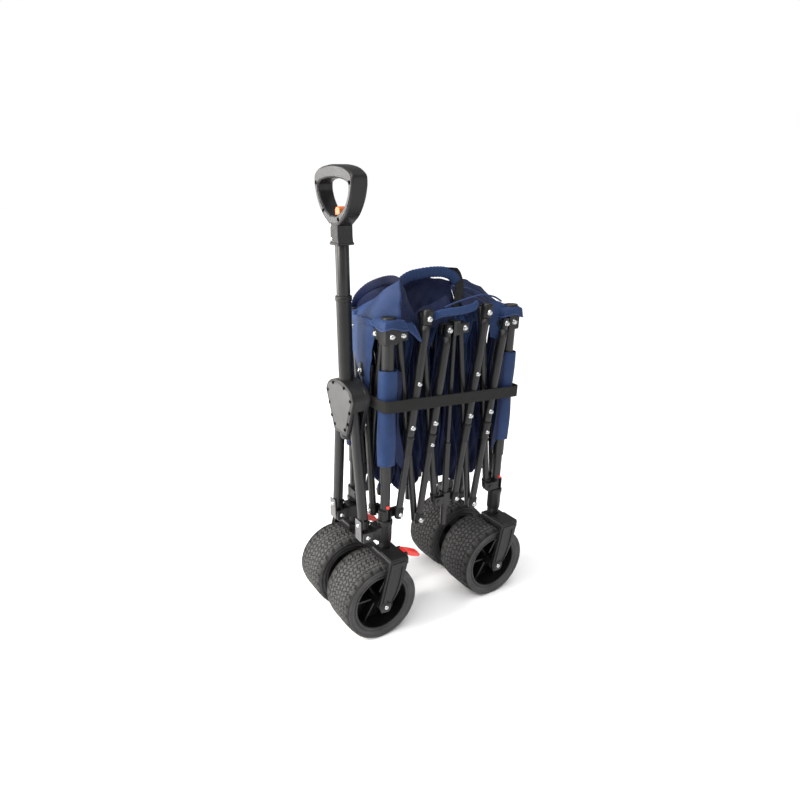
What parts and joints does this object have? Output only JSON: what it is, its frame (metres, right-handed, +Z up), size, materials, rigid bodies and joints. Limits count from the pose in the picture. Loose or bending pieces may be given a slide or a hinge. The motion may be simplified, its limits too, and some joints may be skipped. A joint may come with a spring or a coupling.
{
  "type": "folding beach cart",
  "caption": "Folding beach cart shown folded: four-way scissor frame on wide wheels, with a telescoping pull handle, brakes and a fabric liner.",
  "frame": {"origin": "on the ground, midway between the axles and between the left and right wheels", "axes": "+X the pulling direction, +Y the cart's left, +Z up"},
  "size_m": [0.56, 0.298, 1.1032],
  "materials": {
    "frame": "satin black powder coat",
    "plastic": "satin moulded black",
    "tyre": "matt tread",
    "red": "gloss",
    "orange": "gloss",
    "fabric": "woven navy polyester"
  },
  "bodies": {
    "post_fl": {"post_fl": "frame", "liner": "fabric"},
    "slider_fl": {"slider_fl": "plastic"},
    "snap_button_fl": {"snap_button_fl": "red"},
    "wheel_fl": {"tyre_fl": "tyre", "rim_fl": "plastic"},
    "post_fr": {"post_fr": "frame"},
    "slider_fr": {"slider_fr": "plastic"},
    "snap_button_fr": {"snap_button_fr": "red"},
    "wheel_fr": {"tyre_fr": "tyre", "rim_fr": "plastic"},
    "post_rl": {"post_rl": "frame"},
    "slider_rl": {"slider_rl": "plastic"},
    "snap_button_rl": {"snap_button_rl": "red"},
    "wheel_rl": {"tyre_rl": "tyre", "rim_rl": "plastic"},
    "post_rr": {"post_rr": "frame"},
    "slider_rr": {"slider_rr": "plastic"},
    "snap_button_rr": {"snap_button_rr": "red"},
    "wheel_rr": {"tyre_rr": "tyre", "rim_rr": "plastic"},
    "bar_left_front_a": {"bar_left_front_a": "frame"},
    "bar_left_front_b": {"bar_left_front_b": "frame"},
    "bar_left_front_c": {"bar_left_front_c": "frame"},
    "bar_left_front_d": {"bar_left_front_d": "frame"},
    "bar_left_rear_a": {"bar_left_rear_a": "frame"},
    "bar_left_rear_b": {"bar_left_rear_b": "frame"},
    "bar_left_rear_c": {"bar_left_rear_c": "frame"},
    "bar_left_rear_d": {"bar_left_rear_d": "frame"},
    "bar_right_front_a": {"bar_right_front_a": "frame"},
    "bar_right_front_b": {"bar_right_front_b": "frame"},
    "bar_right_front_c": {"bar_right_front_c": "frame"},
    "bar_right_front_d": {"bar_right_front_d": "frame"},
    "bar_right_rear_a": {"bar_right_rear_a": "frame"},
    "bar_right_rear_b": {"bar_right_rear_b": "frame"},
    "bar_right_rear_c": {"bar_right_rear_c": "frame"},
    "bar_right_rear_d": {"bar_right_rear_d": "frame"},
    "bar_front_a": {"bar_front_a": "frame"},
    "bar_front_b": {"bar_front_b": "frame"},
    "bar_front_c": {"bar_front_c": "frame"},
    "bar_front_d": {"bar_front_d": "frame"},
    "bar_rear_a": {"bar_rear_a": "frame"},
    "bar_rear_b": {"bar_rear_b": "frame"},
    "bar_rear_c": {"bar_rear_c": "frame"},
    "bar_rear_d": {"bar_rear_d": "frame"},
    "mid_top_l": {"mid_top_l": "frame"},
    "mid_bottom_l": {"mid_bottom_l": "frame"},
    "knuckle_l": {"knuckle_l": "plastic"},
    "yoke_l": {"yoke_l": "frame"},
    "brake_pedal_l": {"brake_pedal_l": "red"},
    "fork_fl": {"fork_fl": "plastic"},
    "mid_top_r": {"mid_top_r": "frame"},
    "mid_bottom_r": {"mid_bottom_r": "frame"},
    "knuckle_r": {"knuckle_r": "plastic"},
    "yoke_r": {"yoke_r": "frame"},
    "brake_pedal_r": {"brake_pedal_r": "red"},
    "fork_fr": {"fork_fr": "plastic"},
    "handle_housing": {"handle_housing": "plastic"},
    "pull_handle": {"pull_handle": "frame"},
    "release_button": {"release_button": "orange"}
  },
  "joints": [
    {"name": "frame_fold", "type": "hinge", "parent": "post_fl", "child": "bar_left_front_a", "pos_m": [0.113, 0.0815, 0.757], "axis": [0, 1, 0], "range_deg": [0, 19.1], "deforming": ["liner"]},
    {"name": "left_front_cross_1", "type": "hinge", "parent": "bar_left_front_a", "child": "bar_left_front_b", "pos_m": [0.08444, 0.0815, 0.536], "axis": [0, 1, 0], "range_deg": [-38.6, 0]},
    {"name": "left_front_node_top", "type": "hinge", "parent": "bar_left_front_b", "child": "bar_left_front_d", "pos_m": [0.05175, 0.0815, 0.789], "axis": [0, 1, 0], "range_deg": [0, 38.6]},
    {"name": "left_front_cross_2", "type": "hinge", "parent": "bar_left_front_d", "child": "bar_left_front_c", "pos_m": [0.01906, 0.0815, 0.536], "axis": [0, 1, 0], "range_deg": [-38.6, 0]},
    {"name": "left_front_c_top", "type": "hinge", "parent": "bar_left_front_c", "child": "mid_top_l", "pos_m": [-0.0095, 0.0815, 0.757], "axis": [0, 1, 0], "range_deg": [0, 19.5]},
    {"name": "left_front_d_foot", "type": "hinge", "parent": "bar_left_front_d", "child": "mid_bottom_l", "pos_m": [-0.0095, 0.0815, 0.315], "axis": [0, 1, 0], "range_deg": [-19.5, 0]},
    {"name": "left_front_b_foot", "type": "hinge", "parent": "bar_left_front_b", "child": "slider_fl", "pos_m": [0.113, 0.0815, 0.315], "axis": [0, 1, 0], "range_deg": [0, 19.5]},
    {"name": "left_rear_a_top", "type": "hinge", "parent": "mid_top_l", "child": "bar_left_rear_a", "pos_m": [-0.0595, 0.0815, 0.757], "axis": [0, 1, 0], "range_deg": [0, 19.5]},
    {"name": "left_rear_cross_1", "type": "hinge", "parent": "bar_left_rear_a", "child": "bar_left_rear_b", "pos_m": [-0.08806, 0.0815, 0.536], "axis": [0, 1, 0], "range_deg": [-38.6, 0]},
    {"name": "left_rear_node_top", "type": "hinge", "parent": "bar_left_rear_b", "child": "bar_left_rear_d", "pos_m": [-0.12075, 0.0815, 0.789], "axis": [0, 1, 0], "range_deg": [0, 38.6]},
    {"name": "left_rear_cross_2", "type": "hinge", "parent": "bar_left_rear_d", "child": "bar_left_rear_c", "pos_m": [-0.15344, 0.0815, 0.536], "axis": [0, 1, 0], "range_deg": [-38.6, 0]},
    {"name": "left_rear_c_top", "type": "hinge", "parent": "bar_left_rear_c", "child": "post_rl", "pos_m": [-0.182, 0.0815, 0.757], "axis": [0, 1, 0], "range_deg": [0, 19.5]},
    {"name": "left_rear_d_foot", "type": "hinge", "parent": "bar_left_rear_d", "child": "slider_rl", "pos_m": [-0.182, 0.0815, 0.315], "axis": [0, 1, 0], "range_deg": [-19.5, 0]},
    {"name": "front_a_top", "type": "hinge", "parent": "post_fl", "child": "bar_front_a", "pos_m": [0.143, 0.045, 0.757], "axis": [-1, 0, 0], "range_deg": [0, 19.5]},
    {"name": "front_cross_1", "type": "hinge", "parent": "bar_front_a", "child": "bar_front_b", "pos_m": [0.143, 0.01644, 0.536], "axis": [-1, 0, 0], "range_deg": [-38.6, 0]},
    {"name": "front_node_top", "type": "hinge", "parent": "bar_front_b", "child": "bar_front_d", "pos_m": [0.143, 0, 0.66324], "axis": [-1, 0, 0], "range_deg": [0, 38.6]},
    {"name": "front_cross_2", "type": "hinge", "parent": "bar_front_d", "child": "bar_front_c", "pos_m": [0.143, -0.01644, 0.536], "axis": [-1, 0, 0], "range_deg": [-38.6, 0]},
    {"name": "front_c_top", "type": "hinge", "parent": "bar_front_c", "child": "post_fr", "pos_m": [0.143, -0.045, 0.757], "axis": [-1, 0, 0], "range_deg": [0, 19.5]},
    {"name": "front_d_foot", "type": "hinge", "parent": "bar_front_d", "child": "slider_fr", "pos_m": [0.143, -0.045, 0.315], "axis": [-1, 0, 0], "range_deg": [-19.5, 0]},
    {"name": "right_front_a_top", "type": "hinge", "parent": "post_fr", "child": "bar_right_front_a", "pos_m": [0.113, -0.0815, 0.757], "axis": [0, 1, 0], "range_deg": [0, 19.5]},
    {"name": "right_front_cross_1", "type": "hinge", "parent": "bar_right_front_a", "child": "bar_right_front_b", "pos_m": [0.08444, -0.0815, 0.536], "axis": [0, 1, 0], "range_deg": [-38.6, 0]},
    {"name": "right_front_node_top", "type": "hinge", "parent": "bar_right_front_b", "child": "bar_right_front_d", "pos_m": [0.05175, -0.0815, 0.789], "axis": [0, 1, 0], "range_deg": [0, 38.6]},
    {"name": "right_front_cross_2", "type": "hinge", "parent": "bar_right_front_d", "child": "bar_right_front_c", "pos_m": [0.01906, -0.0815, 0.536], "axis": [0, 1, 0], "range_deg": [-38.6, 0]},
    {"name": "right_front_c_top", "type": "hinge", "parent": "bar_right_front_c", "child": "mid_top_r", "pos_m": [-0.0095, -0.0815, 0.757], "axis": [0, 1, 0], "range_deg": [0, 19.5]},
    {"name": "right_front_d_foot", "type": "hinge", "parent": "bar_right_front_d", "child": "mid_bottom_r", "pos_m": [-0.0095, -0.0815, 0.315], "axis": [0, 1, 0], "range_deg": [-19.5, 0]},
    {"name": "right_rear_a_top", "type": "hinge", "parent": "mid_top_r", "child": "bar_right_rear_a", "pos_m": [-0.0595, -0.0815, 0.757], "axis": [0, 1, 0], "range_deg": [0, 19.5]},
    {"name": "right_rear_cross_1", "type": "hinge", "parent": "bar_right_rear_a", "child": "bar_right_rear_b", "pos_m": [-0.08806, -0.0815, 0.536], "axis": [0, 1, 0], "range_deg": [-38.6, 0]},
    {"name": "right_rear_node_top", "type": "hinge", "parent": "bar_right_rear_b", "child": "bar_right_rear_d", "pos_m": [-0.12075, -0.0815, 0.789], "axis": [0, 1, 0], "range_deg": [0, 38.6]},
    {"name": "right_rear_cross_2", "type": "hinge", "parent": "bar_right_rear_d", "child": "bar_right_rear_c", "pos_m": [-0.15344, -0.0815, 0.536], "axis": [0, 1, 0], "range_deg": [-38.6, 0]},
    {"name": "right_rear_c_top", "type": "hinge", "parent": "bar_right_rear_c", "child": "post_rr", "pos_m": [-0.182, -0.0815, 0.757], "axis": [0, 1, 0], "range_deg": [0, 19.5]},
    {"name": "right_rear_d_foot", "type": "hinge", "parent": "bar_right_rear_d", "child": "slider_rr", "pos_m": [-0.182, -0.0815, 0.315], "axis": [0, 1, 0], "range_deg": [-19.5, 0]},
    {"name": "rear_a_top", "type": "hinge", "parent": "post_rl", "child": "bar_rear_a", "pos_m": [-0.212, 0.045, 0.757], "axis": [-1, 0, 0], "range_deg": [0, 19.5]},
    {"name": "rear_cross_1", "type": "hinge", "parent": "bar_rear_a", "child": "bar_rear_b", "pos_m": [-0.212, 0.01644, 0.536], "axis": [-1, 0, 0], "range_deg": [-38.6, 0]},
    {"name": "rear_node_top", "type": "hinge", "parent": "bar_rear_b", "child": "bar_rear_d", "pos_m": [-0.212, 0, 0.66324], "axis": [-1, 0, 0], "range_deg": [0, 38.6]},
    {"name": "rear_cross_2", "type": "hinge", "parent": "bar_rear_d", "child": "bar_rear_c", "pos_m": [-0.212, -0.01644, 0.536], "axis": [-1, 0, 0], "range_deg": [-38.6, 0]},
    {"name": "caster_fl", "type": "hinge", "parent": "post_fl", "child": "fork_fl", "pos_m": [0.143, 0.076, 0.23], "axis": [0, 0, 1], "range_deg": [-16, 6]},
    {"name": "wheel_spin_fl", "type": "hinge", "parent": "fork_fl", "child": "wheel_fl", "pos_m": [0.18, 0.076, 0.1], "axis": [0, 1, 0], "continuous": true},
    {"name": "brake_fl", "type": "hinge", "parent": "fork_fl", "child": "brake_pedal_l", "pos_m": [0.109, 0.076, 0.211], "axis": [0, 1, 0], "range_deg": [-24, 0]},
    {"name": "caster_fr", "type": "hinge", "parent": "post_fr", "child": "fork_fr", "pos_m": [0.143, -0.076, 0.23], "axis": [0, 0, 1], "range_deg": [-6, 16]},
    {"name": "wheel_spin_fr", "type": "hinge", "parent": "fork_fr", "child": "wheel_fr", "pos_m": [0.18, -0.076, 0.1], "axis": [0, 1, 0], "continuous": true},
    {"name": "brake_fr", "type": "hinge", "parent": "fork_fr", "child": "brake_pedal_r", "pos_m": [0.109, -0.076, 0.211], "axis": [0, 1, 0], "range_deg": [-24, 0]},
    {"name": "wheel_spin_rl", "type": "hinge", "parent": "post_rl", "child": "wheel_rl", "pos_m": [-0.18, 0.076, 0.1], "axis": [0, 1, 0], "continuous": true},
    {"name": "wheel_spin_rr", "type": "hinge", "parent": "post_rr", "child": "wheel_rr", "pos_m": [-0.18, -0.076, 0.1], "axis": [0, 1, 0], "continuous": true},
    {"name": "snap_fl", "type": "slide", "parent": "post_fl", "child": "snap_button_fl", "axis": [0, 1, 0], "range_m": [-0.004, 0], "stiffness_N_per_m": 400},
    {"name": "snap_fr", "type": "slide", "parent": "post_fr", "child": "snap_button_fr", "axis": [0, -1, 0], "range_m": [-0.004, 0], "stiffness_N_per_m": 400},
    {"name": "snap_rl", "type": "slide", "parent": "post_rl", "child": "snap_button_rl", "axis": [0, 1, 0], "range_m": [-0.004, 0], "stiffness_N_per_m": 400},
    {"name": "snap_rr", "type": "slide", "parent": "post_rr", "child": "snap_button_rr", "axis": [0, -1, 0], "range_m": [-0.004, 0], "stiffness_N_per_m": 400},
    {"name": "handle_pitch", "type": "hinge", "parent": "post_fl", "child": "knuckle_l", "pos_m": [0.197, 0.066, 0.268], "axis": [0, 1, 0], "range_deg": [0, 75]},
    {"name": "yoke_spread_l", "type": "hinge", "parent": "knuckle_l", "child": "yoke_l", "pos_m": [0.19778, 0.066, 0.29599], "axis": [0.9996, 0, -0.0279], "range_deg": [0, 24.6]},
    {"name": "housing_spread_l", "type": "hinge", "parent": "yoke_l", "child": "handle_housing", "pos_m": [0.20557, 0.033, 0.57488], "axis": [0.9996, 0, -0.0279], "range_deg": [-24.6, 0]},
    {"name": "housing_spread_r", "type": "hinge", "parent": "handle_housing", "child": "yoke_r", "pos_m": [0.20557, -0.033, 0.57488], "axis": [0.9996, 0, -0.0279], "range_deg": [-24.6, 0]},
    {"name": "handle_pitch_r", "type": "hinge", "parent": "post_fr", "child": "knuckle_r", "pos_m": [0.197, -0.066, 0.268], "axis": [0, 1, 0], "range_deg": [0, 75]},
    {"name": "handle_extend", "type": "slide", "parent": "handle_housing", "child": "pull_handle", "axis": [0.0279, 0, 0.9996], "range_m": [0, 0.23]},
    {"name": "release_press", "type": "slide", "parent": "pull_handle", "child": "release_button", "axis": [0.0279, 0, 0.9996], "range_m": [-0.005, 0], "stiffness_N_per_m": 500}
  ],
  "couplings": [
    {"joint": "left_front_cross_1", "follows": "frame_fold", "ratio": -2},
    {"joint": "left_front_node_top", "follows": "frame_fold", "ratio": 2},
    {"joint": "left_front_cross_2", "follows": "frame_fold", "ratio": -2},
    {"joint": "left_front_c_top", "follows": "frame_fold", "ratio": 1},
    {"joint": "left_front_d_foot", "follows": "frame_fold", "ratio": -1},
    {"joint": "left_front_b_foot", "follows": "frame_fold", "ratio": 1},
    {"joint": "left_rear_a_top", "follows": "frame_fold", "ratio": 1},
    {"joint": "left_rear_cross_1", "follows": "frame_fold", "ratio": -2},
    {"joint": "left_rear_node_top", "follows": "frame_fold", "ratio": 2},
    {"joint": "left_rear_cross_2", "follows": "frame_fold", "ratio": -2},
    {"joint": "left_rear_c_top", "follows": "frame_fold", "ratio": 1},
    {"joint": "left_rear_d_foot", "follows": "frame_fold", "ratio": -1},
    {"joint": "front_a_top", "follows": "frame_fold", "ratio": 1},
    {"joint": "front_cross_1", "follows": "frame_fold", "ratio": -2},
    {"joint": "front_node_top", "follows": "frame_fold", "ratio": 2},
    {"joint": "front_cross_2", "follows": "frame_fold", "ratio": -2},
    {"joint": "front_c_top", "follows": "frame_fold", "ratio": 1},
    {"joint": "front_d_foot", "follows": "frame_fold", "ratio": -1},
    {"joint": "right_front_a_top", "follows": "frame_fold", "ratio": 1},
    {"joint": "right_front_cross_1", "follows": "frame_fold", "ratio": -2},
    {"joint": "right_front_node_top", "follows": "frame_fold", "ratio": 2},
    {"joint": "right_front_cross_2", "follows": "frame_fold", "ratio": -2},
    {"joint": "right_front_c_top", "follows": "frame_fold", "ratio": 1},
    {"joint": "right_front_d_foot", "follows": "frame_fold", "ratio": -1},
    {"joint": "right_rear_a_top", "follows": "frame_fold", "ratio": 1},
    {"joint": "right_rear_cross_1", "follows": "frame_fold", "ratio": -2},
    {"joint": "right_rear_node_top", "follows": "frame_fold", "ratio": 2},
    {"joint": "right_rear_cross_2", "follows": "frame_fold", "ratio": -2},
    {"joint": "right_rear_c_top", "follows": "frame_fold", "ratio": 1},
    {"joint": "right_rear_d_foot", "follows": "frame_fold", "ratio": -1},
    {"joint": "rear_a_top", "follows": "frame_fold", "ratio": 1},
    {"joint": "rear_cross_1", "follows": "frame_fold", "ratio": -2},
    {"joint": "rear_node_top", "follows": "frame_fold", "ratio": 2},
    {"joint": "rear_cross_2", "follows": "frame_fold", "ratio": -2},
    {"joint": "yoke_spread_l", "follows": "frame_fold", "ratio": 1.2671},
    {"joint": "housing_spread_l", "follows": "frame_fold", "ratio": -1.2671},
    {"joint": "housing_spread_r", "follows": "frame_fold", "ratio": -1.2671},
    {"joint": "handle_pitch_r", "follows": "handle_pitch", "ratio": 1}
  ]
}
